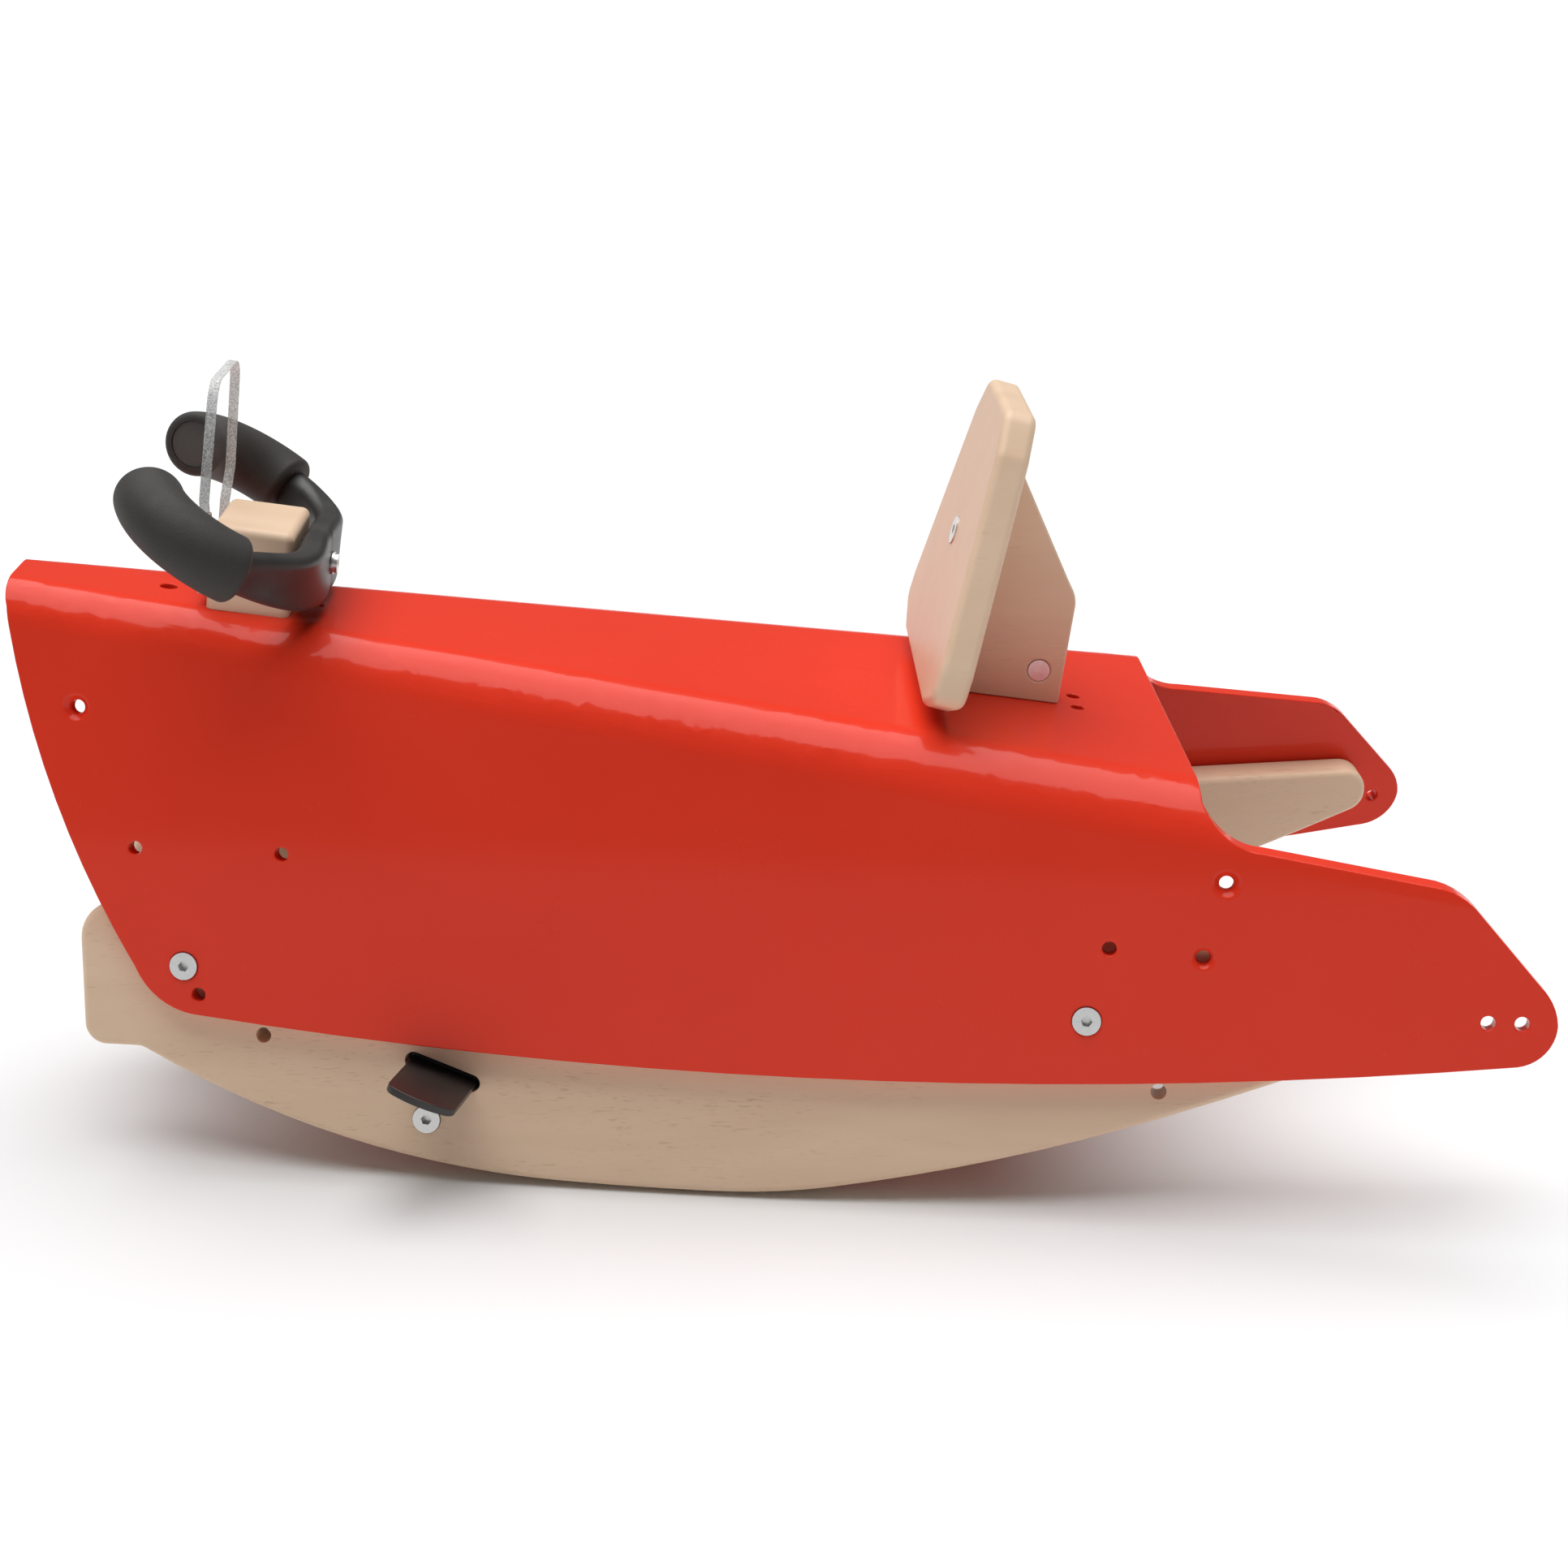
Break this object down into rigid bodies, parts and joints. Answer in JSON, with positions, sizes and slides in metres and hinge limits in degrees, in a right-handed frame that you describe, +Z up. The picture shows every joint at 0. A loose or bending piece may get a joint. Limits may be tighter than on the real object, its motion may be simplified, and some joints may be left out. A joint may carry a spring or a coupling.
{
  "type": "child's rocking toy",
  "caption": "Low child's rocker with a bent plywood shell body, flared rocker boards, a backrest, a windscreen, a C-shaped handlebar and side footrests.",
  "frame": {"origin": "middle of the bounding box at floor level, under the body", "axes": "+X to the rear, where the backrest is; +Y to the rider's right; +Z up"},
  "size_m": [0.807, 0.3542, 0.425],
  "materials": {
    "red_plywood": "gloss red lacquer on bent plywood",
    "beech": "clear satin lacquer",
    "clear_acrylic": "clear sheet with frosted edges",
    "black_tube": "satin black coat",
    "grip_foam": "matt foam",
    "grip_cap": "satin",
    "black_plastic": "satin",
    "bolt_steel": "zinc plate"
  },
  "bodies": {
    "root": {"backrest_board": "beech", "backrest_brace": "beech", "backrest_insert": "bolt_steel", "backrest_screw": "bolt_steel", "block_screws": "bolt_steel", "body_shell": "red_plywood", "brace_bolt": "bolt_steel", "brace_cross_nut": "bolt_steel", "brace_washer": "bolt_steel", "footrest_bolts": "bolt_steel", "footrest_left": "black_plastic", "footrest_right": "black_plastic", "footrest_sleeve_nuts": "bolt_steel", "grip_cap_left": "grip_cap", "grip_cap_right": "grip_cap", "grip_left": "grip_foam", "grip_right": "grip_foam", "handle_block": "beech", "handlebar_bolt": "bolt_steel", "handlebar_frame": "black_tube", "handlebar_insert": "bolt_steel", "handlebar_washer": "bolt_steel", "rocker_left": "beech", "rocker_right": "beech", "shell_bolts": "bolt_steel", "shell_sleeve_nuts": "bolt_steel", "windscreen": "clear_acrylic", "windscreen_screws": "bolt_steel"}
  },
  "joints": []
}
